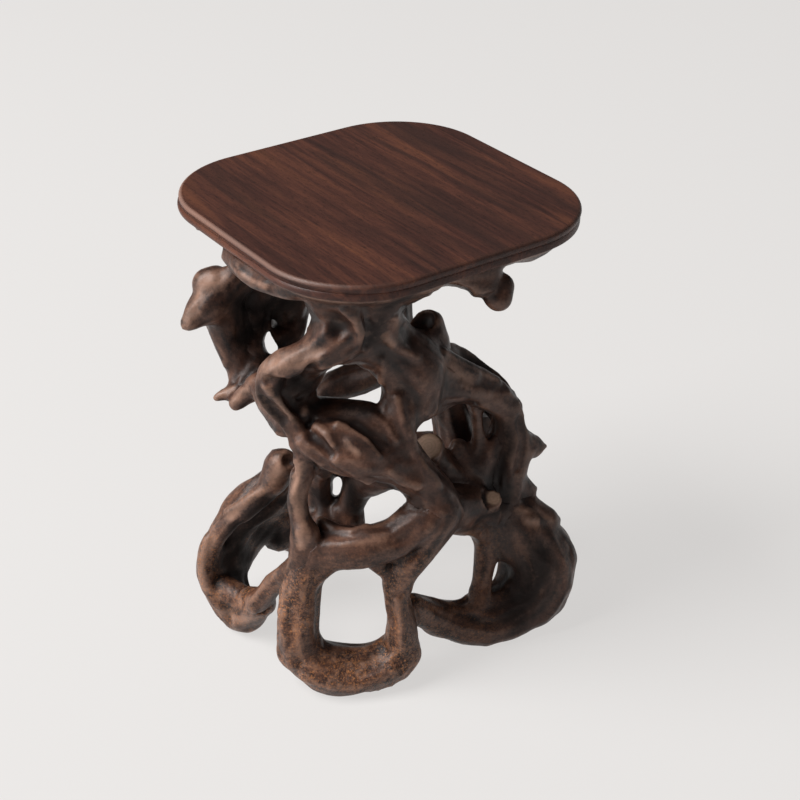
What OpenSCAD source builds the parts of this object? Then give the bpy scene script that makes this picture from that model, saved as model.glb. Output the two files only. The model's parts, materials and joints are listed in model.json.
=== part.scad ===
// Root-carved hardwood display stand: a square board with rounded corners on a crown,
// carried by gnarled, pierced root members that join one another with coped faces and pegs.
// Millimetres, +Z up. The floor is z = 0 and the viewer's side is -Y.

/* [Board] */
// side of the square top board
board_side = 84; // [76:0.5:96]
// radius of the board's corners
board_corner = 24; // [14:0.5:30]
// thickness of the board
board_thickness = 4; // [3.5:0.25:7]
// bevel round both edges of the board
board_edge = 0.9; // [0.4:0.1:1.4]
// turn of the board about the vertical, degrees
board_turn = 35; // [25:1:45]

/* [Crown] */
// depth of the crown under the board
crown_depth = 9; // [8:0.5:12]
// height of the crown's upright lip
lip_height = 1; // [0.5:0.25:3]
// how far the lip stands back from the board's edge
lip_inset = 1.2; // [0.4:0.1:2.5]
// how far the crown's underside stands back from the board's edge
crown_taper = 13; // [10:0.5:16]

/* [Roots] */
// height of the whole stand
stand_height = 120; // [108:1:135]
// thickness of every limb, as a multiple of the drawn one
limb_girth = 1; // [0.95:0.01:1.1]
// wall left round the hollow in the cut branch on the right shoulder
hollow_wall = 1.1; // [0.8:0.1:1.6]
// depth of that hollow
hollow_depth = 4; // [2:0.5:5]

/* [Pegs] */
// diameter of the blind pegs in the joints
peg_diameter = 3; // [2.5:0.1:3.4]
// length of a peg between root members
peg_length = 9; // [7:0.5:11]
// how far a board peg enters the board
board_peg_depth = 2.4; // [1.5:0.1:2.8]
// length of a board peg
board_peg_length = 7; // [6:0.25:8]
// gap all round a peg in its hole
peg_gap = 0.04; // [0.02:0.01:0.08]
// spacing of the board pegs, along each side of the board
board_peg_spacing = 36; // [28:1:40]

/* [Hidden] */
LIMB_SIDES = 8;
RING_SPACING = 5.4;
PEG_SIDES = 20;
DOME_ANGLES = [62, 32];
BOARD_CENTRE = [-1.3, 0, 0];
BLOCK = 240;

seat_height = stand_height - board_thickness;

DARK_WOOD = "#4b3028";
BOARD_WOOD = "#5a3227";
FOOT_WOOD = "#6b4330";
INNER_WOOD = "#3d2a24";
CUT_WOOD = "#a07a5c";
PEG_WOOD = "#9a7650";

// Limb sweep: a round branch through [x, y, z, radius] points.

function unit(v) = v / norm(v);

function xyz(p) = [p[0], p[1], p[2]];

// size of the carving against the drawn one: the neck is drawn from the seat down
function form() = seat_height / NECK[0][2];

// a drawn point, and a drawn limb point with its radius, at that size
function spot(p) = form() * xyz(p);

function placed(p) = [each spot(p), form() * limb_girth * p[3]];

function curve_point(a, b, c, d, t) =
    0.5 * (2 * b + (c - a) * t + (2 * a - 5 * b + 4 * c - d) * t * t + (3 * b - a - 3 * c + d) * t * t * t);

function path_length(p, i = 1) =
    i == len(p) ? 0 : norm(xyz(p[i]) - xyz(p[i - 1])) + path_length(p, i + 1);

// points along a smooth curve through the drawn ones
function curve(p, steps) =
    let (last = len(p) - 1, q = concat([2 * p[0] - p[1]], p, [2 * p[last] - p[last - 1]]))
    concat([for (i = [0 : last - 1], k = [0 : steps - 1])
        curve_point(q[i], q[i + 1], q[i + 2], q[i + 3], k / steps)], [p[last]]);

function tangents(c) =
    [for (i = [0 : len(c) - 1]) unit(xyz(c[min(i + 1, len(c) - 1)]) - xyz(c[max(i - 1, 0)]))];

// one sideways direction per ring, turned as little as possible from ring to ring
function sideways(t) =
    let (start = abs(t[0][2]) < 0.8 ? cross(t[0], [0, 0, 1]) : cross(t[0], [1, 0, 0]))
    [for (i = 0, n = unit(start); i < len(t);
        i = i + 1, n = i < len(t) ? unit(n - (n * t[i]) * t[i]) : n) n];

function ring(centre, along, side, radius) =
    let (other = cross(along, side))
    [for (k = [0 : LIMB_SIDES - 1])
        centre + radius * (cos(360 * k / LIMB_SIDES) * side + sin(360 * k / LIMB_SIDES) * other)];

function dome(end, along, side, way, angles) =
    [for (a = angles) each ring(xyz(end) + way * end[3] * sin(a) * along, along, side, end[3] * cos(a))];

// A limb with rounded ends; cut_end leaves the last end sawn flat.
module limb(drawn, cut_end = false) {
    points = [for (p = drawn) placed(p)];
    steps = max(2, round(path_length(points) / (len(points) - 1) / RING_SPACING));
    c = curve(points, steps);
    t = tangents(c);
    s = sideways(t);
    last = len(c) - 1;
    tip_angles = cut_end ? [] : [DOME_ANGLES[1], DOME_ANGLES[0]];
    shell = concat(
        [xyz(c[0]) - c[0][3] * t[0]],
        dome(c[0], t[0], s[0], -1, DOME_ANGLES),
        [for (i = [0 : last]) each ring(xyz(c[i]), t[i], s[i], c[i][3])],
        dome(c[last], t[last], s[last], 1, tip_angles),
        [xyz(c[last]) + (cut_end ? 0 : c[last][3]) * t[last]]
    );
    rings = len(DOME_ANGLES) + len(c) + len(tip_angles);
    n = LIMB_SIDES;
    top = len(shell) - 1;
    faces = concat(
        [for (k = [0 : n - 1]) [0, 1 + k, 1 + (k + 1) % n]],
        [for (i = [0 : rings - 2], k = [0 : n - 1])
            [1 + i * n + k, 1 + (i + 1) * n + k, 1 + i * n + (k + 1) % n]],
        [for (i = [0 : rings - 2], k = [0 : n - 1])
            [1 + i * n + (k + 1) % n, 1 + (i + 1) * n + k, 1 + (i + 1) * n + (k + 1) % n]],
        [for (k = [0 : n - 1]) [top, top - n + (k + 1) % n, top - n + k]]
    );
    polyhedron(shell, faces, convexity = 6);
}

module limbs(list) {
    for (points = list) limb(points);
}

// what lies below the floor, so that the feet are cut flat
module below_floor() {
    translate([-BLOCK / 2, -BLOCK / 2, -BLOCK]) cube(BLOCK);
}

// what lies above the seat of the board, so that no root rises into it
module above_seat() {
    translate([-BLOCK / 2, -BLOCK / 2, seat_height]) cube(BLOCK);
}

// Pegs: each is a point on a joint and the direction that it runs in.
NECK_PEG = [[-6, -29, 106], [0, 0, 1]];
HEAD_PEG = [[-34, 2, 106], [0, 0, 1]];
CURTAIN_PEG = [[-24, 15, 106], [0, 0, 1]];
BACK_PEG = [[-2, 29, 106], [0, 0, 1]];
SHOULDER_PEG = [[25.2, -13.8, 72.3], [5.5, 3, -5.5]];
KNEE_PEG = [[13, -33, 50], [-2, -1, -8]];
HAUNCH_PEG = [[34, -12, 31], [6, 0, -8]];
LEFT_LEG_PEG = [[-2, 16, 64], [-3, -1, -3]];
RIGHT_LEG_PEG = [[7, 14, 63], [6, -1, -3]];
ROOT_PEGS = [
    NECK_PEG, HEAD_PEG, CURTAIN_PEG, BACK_PEG, SHOULDER_PEG, KNEE_PEG, HAUNCH_PEG,
    LEFT_LEG_PEG, RIGHT_LEG_PEG
];

module peg(joint, gap = 0) {
    way = unit(joint[1]);
    length = form() * peg_length + 2 * gap;
    translate(spot(joint[0]))
        rotate([0, acos(way[2]), atan2(way[1], way[0])])
            cylinder(d = peg_diameter + 2 * gap, h = length, center = true, $fn = PEG_SIDES);
}

module peg_holes(joints) {
    for (joint = joints) peg(joint, peg_gap);
}

module board_peg_set(gap = 0) {
    half = board_peg_spacing / 2;
    on_board() for (a = [-half, half], b = [-half, half])
        translate([a, b, seat_height + board_peg_depth - board_peg_length - gap])
            cylinder(d = peg_diameter + 2 * gap, h = board_peg_length + 2 * gap, $fn = PEG_SIDES);
}

// Board and crown

module on_board() {
    translate(form() * BOARD_CENTRE) rotate(board_turn) children();
}

module rounded_square(side, radius) {
    half = side / 2 - radius;
    hull() for (a = [-half, half], b = [-half, half]) translate([a, b]) circle(radius, $fn = 44);
}

module slab(inset, bottom, top) {
    translate([0, 0, bottom]) linear_extrude(top - bottom)
        rounded_square(board_side - 2 * inset, board_corner - inset);
}

module board_wood() {
    on_board() hull() {
        slab(board_edge, seat_height, stand_height);
        slab(0, seat_height + board_edge, stand_height - board_edge);
    }
}

module top_board() color(BOARD_WOOD) difference() {
    board_wood();
    board_peg_set(peg_gap);
}

SKIRT = [[-45, 5, 112.6, 3], [-40, -11, 113.4, 2.6], [-30, -27, 112.8, 3.3], [-20, -38, 114.3, 3.2]];
DRIP = [[20, -25, 114, 8], [23.5, -27.5, 110.5, 5.5], [25.5, -28.5, 107.8, 3]];
DRIP_SLOPE = [[12, -34, 115, 3.4], [18, -31, 112.5, 4.2], [23, -29, 110.5, 4]];
BACK_LOBE = [[30, 15, 113, 5.5], [32, 16, 109, 3.6], [33, 16, 107, 2.4]];
SIDE_LOBE = [[-22, 28, 113, 5.5], [-23.5, 30, 109, 3.8], [-24, 31, 107, 2.6]];

module crown_wood() {
    on_board() hull() {
        slab(lip_inset, seat_height - lip_height, seat_height);
        slab(crown_taper, seat_height - crown_depth, seat_height);
    }
    difference() {
        limbs([SKIRT, DRIP, DRIP_SLOPE, BACK_LOBE, SIDE_LOBE]);
        above_seat();
    }
}

module crown() color(DARK_WOOD) difference() {
    crown_wood();
    board_peg_set(peg_gap);
    peg_holes([NECK_PEG, HEAD_PEG, CURTAIN_PEG, BACK_PEG]);
}

// Front root: the neck under the front corner, the arm to its left, and the pierced trunk.
NECK = [[-6.5, -31.5, 116, 15.4], [-5.5, -31, 108, 12.6], [-4, -30, 101, 9.8], [0, -28.5, 95, 7.6]];
KNOT = [[-8, -34, 106, 7], [-10.5, -37, 101.5, 6.4], [-15, -38, 97.5, 5]];
ARM = [[-9, -36, 98.5, 5.2], [-14.5, -38, 97.5, 4.4], [-20, -38.5, 95.5, 4], [-24.5, -38.5, 93, 3.8],
    [-26, -37.5, 90, 3.4]];
EDGE = [[-26.5, -38, 92, 2.6], [-27, -37, 86, 2.7], [-24, -36, 81, 2.8], [-21, -36, 75, 3.4],
    [-19, -36, 70, 4]];
DIAGONAL = [[-20, -36, 72, 4.2], [-12, -38, 73, 5], [-5, -39, 70, 5], [2, -37, 66, 4.6], [9, -34, 59, 5],
    [13, -33, 52, 6]];
STRIP = [[2, -30, 92, 4.5], [3, -31, 84, 3.4], [4, -33, 77, 3.6], [5, -34, 69, 4], [9, -34, 60, 4.8]];
SILL = [[-24, -32, 81, 3.2], [-17, -30, 77, 4], [-10, -31, 76, 4], [-4, -33, 76, 4.2], [3, -33, 73, 4]];
CHEEK = [[-24, -33, 83, 3.4], [-20, -30, 86, 4.8], [-17.5, -30, 91, 4.8], [-14, -33, 97, 5]];
GUSSET = [[2, -28, 92, 7], [8, -27, 86, 7], [9, -28, 79, 5]];
LEDGE = [[5, -29, 76, 3.4], [11, -23, 74, 3.2], [18, -14, 74.5, 3.2]];
KEEL = [[-13, -37, 69, 4], [-5, -37.5, 67, 4.4], [4, -36, 63.5, 4]];
BREAST = [[-15, -33, 75, 4.5], [-6, -34, 73, 4.8], [4, -34, 70, 4.6]];
WING = [[6, -27, 87, 6], [14, -21, 80, 5.4], [22, -15, 74.5, 4.2]];
APRON = [[5, -29, 80, 4.8], [12, -22, 77.5, 4.4], [19, -15, 75.5, 3.6]];

module front_root_wood() {
    limbs([NECK, KNOT, ARM, EDGE, DIAGONAL, STRIP, SILL, CHEEK, GUSSET, LEDGE, KEEL, BREAST, WING, APRON]);
}

module front_root() color(DARK_WOOD) difference() {
    front_root_wood();
    crown_wood();
    above_seat();
    peg_holes([NECK_PEG, SHOULDER_PEG, KNEE_PEG]);
}

// Right root: the shoulder that runs out from the neck, its thin rim, and the thorned column.
SHOULDER = [[8, -23.5, 88, 6], [12, -21.5, 84.5, 5.6], [16.5, -19, 80.5, 5.3], [24, -15, 74, 5],
    [30, -12, 68.5, 4.5], [32, -11, 61, 4.7], [32.5, -11, 54, 5.2], [32, -11, 45, 5.6], [30.5, -12, 36, 6]];
RIM = [[11, -20, 86, 3], [14.5, -14, 84.2, 2.3], [19.5, -9, 80.8, 2], [25.5, -7, 75, 1.9], [30, -8, 71, 2.2],
    [32, -10, 67, 2.6]];
UPPER_THORN = [[32.5, -10, 55, 5.5], [37.5, -9.5, 53.5, 3.8], [42, -9, 53, 1]];
LOWER_THORN = [[32.5, -11, 43, 5.5], [36.5, -10.5, 41.5, 3.6], [40, -10, 40.5, 1]];

module right_root_wood() {
    limbs([SHOULDER, RIM, UPPER_THORN, LOWER_THORN]);
}

module right_root() color(DARK_WOOD) difference() {
    right_root_wood();
    front_root_wood();
    peg_holes([SHOULDER_PEG, HAUNCH_PEG]);
}

// Hollow branch: a short cut branch with a scooped end, at the start of the shoulder.
HOLLOW = [[13, -19, 86, 4.2], [11.5, -18, 90.5, 4], [10, -17, 95, 4.1]];

function hollow_radius() = placed(HOLLOW[2])[3] - hollow_wall;

module hollow_branch() color(DARK_WOOD) difference() {
    limb(HOLLOW, cut_end = true);
    right_root_wood();
    front_root_wood();
    translate(spot(HOLLOW[2]))
        scale([1, 1, hollow_depth / hollow_radius()])
            sphere(hollow_radius(), $fn = 24);
}

// Left root: the knob with its nose under the left corner, and the strands that fall from it.
HEAD = [[-31, 4, 108, 6.5], [-34.5, 3, 101, 5.2], [-39, 1, 95.5, 5], [-43.5, -1, 93.3, 4.5]];
NOSE = [[-42.5, -1, 92, 5.2], [-46, -3, 90, 4.5], [-49, -5, 87.5, 2.7]];
FALL = [[-42, 1, 91, 5.6], [-40, 2, 79, 4.4], [-38, 0, 72, 3.4], [-36, -3, 66, 3.6]];
STRAND = [[-39, 5, 84, 5], [-35, 1, 73, 3.2], [-32, -5, 69, 3.4]];
LONG_NUB = [[-36, -4, 67, 3.2], [-40, -5, 67, 2.2], [-43, -6, 66, 1.6]];
SHORT_NUB = [[-31, -10, 73, 3.2], [-35, -9, 69, 2.8], [-38, -9, 66, 2.2]];
LINK = [[-32, -8, 71, 3.4], [-28, -20, 72, 3.4], [-22.5, -33, 73.5, 3.4]];

module left_root_wood() {
    limbs([HEAD, NOSE, FALL, STRAND, LONG_NUB, SHORT_NUB, LINK]);
}

module left_root() color(DARK_WOOD) difference() {
    left_root_wood();
    crown_wood();
    above_seat();
    front_root_wood();
    peg_holes([HEAD_PEG]);
}

// Back curtain: the wall of merged limbs behind the left root.
OUTER_FOLD = [[-30.5, 10, 108, 7.5], [-31.5, 10, 96, 7.2], [-35, 9, 86, 6], [-35, 6, 77, 4.6],
    [-34, 1, 71, 3.6]];
MIDDLE_FOLD = [[-24, 15, 109, 8], [-25, 16, 96, 8], [-25, 16, 84, 6.5], [-25.5, 14, 75, 4],
    [-26.5, 8, 69, 3.8], [-29, -4, 68, 4]];
CURTAIN_WEB = [[-34, 9, 98, 6], [-29, 12, 97, 5.6], [-24, 16, 97, 6]];
CURTAIN_HEM = [[-34, 3, 76, 4], [-30, 7, 75, 3.8], [-26, 12, 75, 4]];
INNER_FOLD = [[-13, 21, 108, 7.5], [-13, 21, 97, 8], [-11, 20, 88, 7.5], [-4, 20, 82, 7]];

module back_curtain_wood() {
    limbs([OUTER_FOLD, MIDDLE_FOLD, INNER_FOLD, CURTAIN_WEB, CURTAIN_HEM]);
}

module back_curtain() color(INNER_WOOD) difference() {
    back_curtain_wood();
    crown_wood();
    above_seat();
    left_root_wood();
    peg_holes([CURTAIN_PEG]);
}

// Back root: the trunk under the back corner, and the ring of wood that carries both back legs.
BACK_TRUNK = [[-3, 29, 110, 9], [-4, 28, 99, 7.5], [-9, 24, 88, 4.6], [-7, 20, 77, 5], [1, 16, 67, 7.5]];
BACK_FORK = [[4, 28, 104, 7], [4, 27, 94, 5], [3, 22, 82, 4.4], [2, 17, 72, 6]];
BACK_KNOT = [[0, 17, 68, 6.5], [3, 23, 66, 4.6], [5, 26, 63, 2.6]];

module back_root_wood() {
    limbs([BACK_TRUNK, BACK_FORK, BACK_KNOT]);
}

module back_root() color(INNER_WOOD) difference() {
    back_root_wood();
    crown_wood();
    above_seat();
    back_curtain_wood();
    peg_holes([BACK_PEG, LEFT_LEG_PEG, RIGHT_LEG_PEG]);
}

// Left strut: the thin knotted limb from the trunk down to the left foot.
STRUT = [[-18, -36, 70, 3.8], [-20.5, -36, 60, 2.9], [-21, -37, 54.5, 2.5], [-20, -38, 50, 2.9],
    [-19.5, -38, 45, 3.6], [-21, -37, 38, 3], [-25, -34, 31, 3], [-29, -31, 24, 3.2], [-33, -28, 17, 3.6]];

module left_strut_wood() {
    limb(STRUT);
}

module left_strut() color(DARK_WOOD) difference() {
    left_strut_wood();
    front_root_wood();
}

// Cross beam: the limb over the opening in the front foot.
BEAM = [[-16, -38, 39, 4], [-12, -39, 42, 5], [-5, -39, 43, 5.2], [3, -37, 44, 5], [10, -35, 49, 6]];
SPUR = [[-16, -34, 47, 1.2], [-12, -36, 46, 2], [-7, -38, 45, 3]];

module cross_beam_wood() {
    limbs([BEAM, SPUR]);
}

module cross_beam() color(DARK_WOOD) difference() {
    cross_beam_wood();
    front_root_wood();
    left_strut_wood();
    peg_holes([KNEE_PEG]);
}

// Front foot: two risers and the sole round the front opening.
LEFT_RISER = [[-16, -38, 38, 3.5], [-20, -38, 32, 4.6], [-21.5, -39, 23, 5.2], [-22, -40, 14, 5.5]];
RIGHT_RISER = [[13, -33, 50, 6.2], [9, -35, 42, 5.2], [4, -37, 34, 4.4], [3.5, -38, 27, 3.3], [4, -39, 18, 4],
    [4, -39, 10, 5]];
SOLE = [[-22, -40, 10, 5.5], [-17, -41, 6.5, 6.2], [-8, -41, 4.5, 6.5], [0, -40, 5.5, 6.2], [4, -39, 9, 5.5]];

module front_foot_wood() {
    limbs([LEFT_RISER, RIGHT_RISER, SOLE]);
}

module front_foot() color(FOOT_WOOD) difference() {
    front_foot_wood();
    front_root_wood();
    left_strut_wood();
    cross_beam_wood();
    below_floor();
    peg_holes([KNEE_PEG]);
}

// Left foot: the open hoop with its sawn upper end, its deep lining and the wall behind.
HOOP = [[-32, -27, 16, 3.8], [-36, -21, 8, 4.8], [-40.5, -17, 4.3, 5], [-45.5, -17, 10.5, 3.4],
    [-47.5, -17, 17.5, 3], [-46, -17, 26, 2.8], [-40.5, -17, 34.5, 2.8], [-34, -16, 40.5, 2.8],
    [-28.5, -14, 46, 4], [-25, -12, 52, 4.8]];
LINING = [[-26, -6, 41, 4.4], [-33, -8, 35, 5], [-39, -9, 29, 5.4], [-43, -9, 21, 5.8], [-43.5, -10, 13, 5.6],
    [-41, -13, 7, 5]];
WALL = [[-27, -5, 42, 5], [-29, 0, 28, 6], [-29.5, 1, 18, 5.8]];
BOWL = [[-42, -6, 15, 5.5], [-37, -2, 21, 6.2], [-31, 0, 27, 6]];
BOWL_ROOF = [[-39, -7, 31, 5], [-32, -6, 37, 5.4], [-27, -6, 42, 5]];

module left_foot_wall() {
    limbs([WALL, BOWL]);
}

module left_foot_wood() {
    left_foot_wall();
    limb(HOOP, cut_end = true);
    limbs([LINING, BOWL_ROOF]);
}

module left_foot() color(FOOT_WOOD) difference() {
    left_foot_wood();
    left_strut_wood();
    front_foot_wood();
    below_floor();
}

// Inner root: the dark pillar, the thin lens, two ridges and the base inside the right-hand arch.
PILLAR = [[16, -6, 70, 5], [18.5, -2, 56, 6], [20.5, -2, 44, 6], [24, -8, 35, 6]];
LENS = [[21.5, -14, 73, 3], [23.5, -14, 65, 2], [24, -14, 58, 1.8], [24, -14, 52, 2.2], [22.5, -15, 44, 3]];
NEAR_VEE = [[18.5, -15, 57, 2.4], [20.5, -16, 50, 2.5], [23, -17, 43, 3]];
FAR_VEE = [[28.5, -13, 57, 2.4], [25.5, -15, 50, 2.5], [23, -17, 43, 3]];
BASE = [[15, -29, 47, 5.5], [19, -24, 44, 5], [24, -18, 41, 5], [30, -13, 37, 5.5]];

module inner_root_wood() {
    limbs([PILLAR, LENS, NEAR_VEE, FAR_VEE, BASE]);
}

module inner_root() color(INNER_WOOD) difference() {
    inner_root_wood();
    front_root_wood();
    right_root_wood();
    front_foot_wood();
    peg_holes([HAUNCH_PEG, KNEE_PEG]);
}

// Right foot: the bulb under the column, the arm along the floor to the front, and its struts.
BULB = [[32, -12, 37, 6.2], [38.5, -12, 28, 8], [43, -13, 19, 8.8], [41, -15, 10, 8.4], [34, -18, 5.5, 7.5],
    [26, -22, 4, 6.5], [18, -24, 7, 5.5], [12, -27, 12, 4.8], [7, -32, 19, 4]];
POST = [[27, -15, 27, 3], [26.5, -17, 22, 2.7], [26, -19, 17, 2.6], [25, -21, 11, 3.4]];
ARCH = [[17, -26, 42, 4], [21.5, -21, 37, 3], [25.5, -17, 32, 3], [27, -15, 26, 3]];
HAUNCH_WEB = [[27, -14, 30, 4.4], [32, -13, 27, 5], [37, -13, 22, 5]];
PANEL = [[33, -10, 29, 5], [35.6, -10, 19, 4.6], [34, -12, 11, 5]];
FLOOR_WEB = [[26, -20, 9, 5], [32, -17, 9, 5.5], [37, -15, 12, 5.5]];

module right_foot_wood() {
    limbs([BULB, POST, ARCH, HAUNCH_WEB, PANEL, FLOOR_WEB]);
}

module right_foot() color(FOOT_WOOD) difference() {
    right_foot_wood();
    right_root_wood();
    front_foot_wood();
    inner_root_wood();
    below_floor();
    peg_holes([HAUNCH_PEG]);
}

// Inner left root: the column and the hooked limb seen behind the strut.
COLUMN = [[-16, -33, 69, 4.5], [-16, -25, 55, 4], [-16, -22, 43, 4], [-17, -34, 35, 4]];
HOOK = [[0, -34, 62, 4.4], [-6, -25, 52, 4.2], [-9.5, -21, 45, 4.2], [-15, -21, 41, 4.2]];

module inner_left_root() color(INNER_WOOD) difference() {
    limbs([COLUMN, HOOK]);
    front_root_wood();
    left_strut_wood();
    cross_beam_wood();
    front_foot_wood();
}

// Back legs: one to each side of the back root, tied to the feet in front of them.
LEFT_LEG = [[1, 16, 68, 6], [-4, 15, 61, 5.4], [-10, 14, 59, 5.2], [-16, 13, 56, 4.4], [-16, 15, 47, 5.2],
    [-18, 18, 37, 4], [-23, 19, 25, 5], [-24, 20, 14, 4.4], [-26, 20, 4, 6.5]];
LEFT_TIE = [[-29, 1.5, 22, 4], [-27, 9, 20, 3.7], [-24, 17, 22, 4.8]];
LEFT_TOE = [[-25, 20, 6, 5], [-33, 24, 4, 4.2], [-40, 26, 2, 2.8]];
LEFT_BRANCH = [[-17, 17, 44, 4.5], [-25, 22, 46, 3.6], [-29, 24, 52, 3]];
RIGHT_LEG = [[2, 15, 66, 6.5], [12, 13, 60, 5.4], [22, 13, 53, 6.2], [30, 15, 41, 4.6], [31, 18, 30, 5.6],
    [34, 20, 18, 4.6], [33, 21, 5, 6.8]];
RIGHT_TOE = [[33, 21, 6, 5], [40, 26, 4, 4], [45, 29, 2, 2.8]];
RIGHT_THORN = [[30, 17, 34, 4.6], [27, 24, 32, 3], [26, 29, 34, 1.4]];
BACK_ARCH = [[-16.5, 18.3, 36.5, 3], [-9, 22, 37, 3], [4, 22, 33, 3.2], [16, 20, 37, 3], [29, 17, 37, 4.6]];
PILLAR_TIE = [[18, 0, 57, 5], [15, 6, 60, 4.6], [11, 13, 61, 6]];
SHOULDER_TIE = [[31.5, -8, 63, 4.4], [30, 2, 60, 3.8], [23, 12, 54, 5.5]];
FOOT_TIE = [[42, -10, 16, 6], [38, 6, 17, 4.2], [34, 18, 14, 5.5]];

module back_left_leg_wood() {
    limbs([LEFT_LEG, LEFT_TIE, LEFT_TOE, LEFT_BRANCH]);
}

module back_left_leg() color(INNER_WOOD) difference() {
    back_left_leg_wood();
    back_root_wood();
    left_foot_wall();
    below_floor();
    peg_holes([LEFT_LEG_PEG]);
}

module back_right_leg() color(INNER_WOOD) difference() {
    limbs([RIGHT_LEG, RIGHT_TOE, RIGHT_THORN, BACK_ARCH, PILLAR_TIE, SHOULDER_TIE, FOOT_TIE]);
    back_root_wood();
    back_left_leg_wood();
    right_root_wood();
    inner_root_wood();
    right_foot_wood();
    below_floor();
    peg_holes([RIGHT_LEG_PEG]);
}

// Cut branches: sawn ends that show paler wood.
CENTRE_BRANCH = [[20, -18, 41, 4.6], [17, -18, 49, 3.6], [13, -20, 57, 3.6], [11, -23, 62, 3.7]];
SIDE_BRANCH = [[27, -15, 39, 3], [27, -18, 41.5, 2.8], [28, -21, 45, 2.5]];

module centre_branch() color(CUT_WOOD) difference() {
    limb(CENTRE_BRANCH, cut_end = true);
    inner_root_wood();
    front_root_wood();
    right_foot_wood();
}

module side_branch() color(CUT_WOOD) difference() {
    limb(SIDE_BRANCH, cut_end = true);
    inner_root_wood();
    right_root_wood();
    right_foot_wood();
}

// Pegs

module board_pegs() color(PEG_WOOD) board_peg_set();

module root_pegs() color(PEG_WOOD) {
    for (joint = ROOT_PEGS) peg(joint);
}

top_board();
crown();
front_root();
right_root();
left_root();
back_curtain();
back_root();
hollow_branch();
left_strut();
cross_beam();
front_foot();
left_foot();
inner_root();
right_foot();
inner_left_root();
back_left_leg();
back_right_leg();
centre_branch();
side_branch();
board_pegs();
root_pegs();
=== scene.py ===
"""Looks of the root-carved hardwood stand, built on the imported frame.

The root members are sculpted as one distance field, so that every limb flows into the next as
carved wood does, and are then cut apart again into one closed piece for each member.
Lengths in the sculpt are millimetres, Blender objects are in metres.
"""

import itertools
import json
import math

import bpy
import numpy as np
import openvdb
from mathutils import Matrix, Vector

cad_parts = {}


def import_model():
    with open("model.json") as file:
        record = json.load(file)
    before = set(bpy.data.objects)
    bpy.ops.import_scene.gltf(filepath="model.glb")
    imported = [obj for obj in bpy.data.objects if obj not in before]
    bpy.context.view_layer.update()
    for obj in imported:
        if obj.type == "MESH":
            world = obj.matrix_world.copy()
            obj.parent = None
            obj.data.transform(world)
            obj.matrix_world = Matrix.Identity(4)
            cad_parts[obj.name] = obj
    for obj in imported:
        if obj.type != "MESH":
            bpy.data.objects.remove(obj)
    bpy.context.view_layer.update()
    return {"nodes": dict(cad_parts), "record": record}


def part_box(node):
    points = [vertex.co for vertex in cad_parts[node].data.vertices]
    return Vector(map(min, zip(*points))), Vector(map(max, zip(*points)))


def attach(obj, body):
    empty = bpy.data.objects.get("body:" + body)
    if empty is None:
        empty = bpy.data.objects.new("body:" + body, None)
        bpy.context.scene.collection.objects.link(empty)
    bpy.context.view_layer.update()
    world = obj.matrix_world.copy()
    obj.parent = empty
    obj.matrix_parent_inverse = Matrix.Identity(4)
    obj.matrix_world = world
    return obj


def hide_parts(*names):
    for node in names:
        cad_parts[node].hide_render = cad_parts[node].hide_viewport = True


MM = 0.001

# Camera, fitted to the outline of the board in the photograph
IMAGE_SIDE = 800
IMAGE_CENTRE = (IMAGE_SIDE / 2, IMAGE_SIDE / 2)
FOCAL_PIXELS = 1604
CAMERA_TARGET = Vector((4, 0, 61.6)) * MM
CAMERA_DISTANCE = 420.2 * MM
CAMERA_PITCH = math.radians(31.14)
SENSOR = 36.0

# Board: bead, groove and lip round its edge, in mm
BOARD_TURN = math.radians(35)
BOARD_CORNER = 24.0
BEAD_RADIUS = 1.0
GROOVE_INSET = 1.1
GROOVE_TOP = 1.6
GROOVE_BOTTOM = 2.1
LIP_INSET = 0.6
LIP_RADIUS = 0.9
LIP_SHIFT = 1.0
GROOVE_SPAN = (0.0, 30.0)
GROOVE_LEAST = 0.15
CORNER_STEPS = 24
EDGE_STEPS = 6

# Sculpt grid: voxel and margin in mm, band in voxels, blurs cut off at so many spreads
VOXEL = 0.5
BAND = 8
FAR = np.float32(BAND * VOXEL)
MARGIN = 6.0
BLUR_REACH = 3
TINY = 1e-9
NOISE_SEED = 7

# How the limbs flow together, in mm
FILLET = 1.7
FACET_BLUR = 0.75
SHRINK_REPAIR = 0.06
TIP_REPAIR = 0.35

# Swells, flutes and ripples along the limbs in mm, weaker on thin limbs and close to the board
SWELL_SIZE = 3.6
SWELL_DEPTH = 0.55
FLUTES = [
    # size, depth and reach along the limb
    (1.9, 0.58, 9.0),
    (0.9, 0.22, 6.0),
]
FLUTE_MEAN = 1.0
FLUTE_BLUR = 0.35
RIPPLE_SIZE = 0.5
RIPPLE_DEPTH = 0.05
RIPPLE_REACH = 4.0
CALM_SPAN = 7.0
CALM_LEAST = 0.2
THIN_SPAN = 2.0
THIN_LIMITS = (0.12, 0.35)

# Directions of the limbs: spans in mm, strides in voxels
AXIS_SPAN = 3.0
AXIS_STRIDE = 2
FLOW_STEP = 2
FLOW_BAND = 3.0

# Marks that the materials read, in mm
GRAIN_SIZE = 0.5
GRAIN_REACH = 6.0
# Span of wood round a place, which paints shade into enclosed hollows
ENCLOSURE_SHADE_SPAN = 4.0
# Span of the convexity, which pales ridges with wear and painted highlight and paints shade into hollows
CONVEXITY_SPAN = 1.0

# Cutting apart: joint overlap and skin steps in mm, levels tried until a mesh is closed
JOINT_OVERLAP = 0.4
PIECE_INSET = 0.008
MESH_LEVELS = (0.0, 0.004, -0.004, 0.008, -0.008, 0.012, -0.012)
SPECK_SIZE = 1.5
POINT_DIGITS = 4

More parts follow.
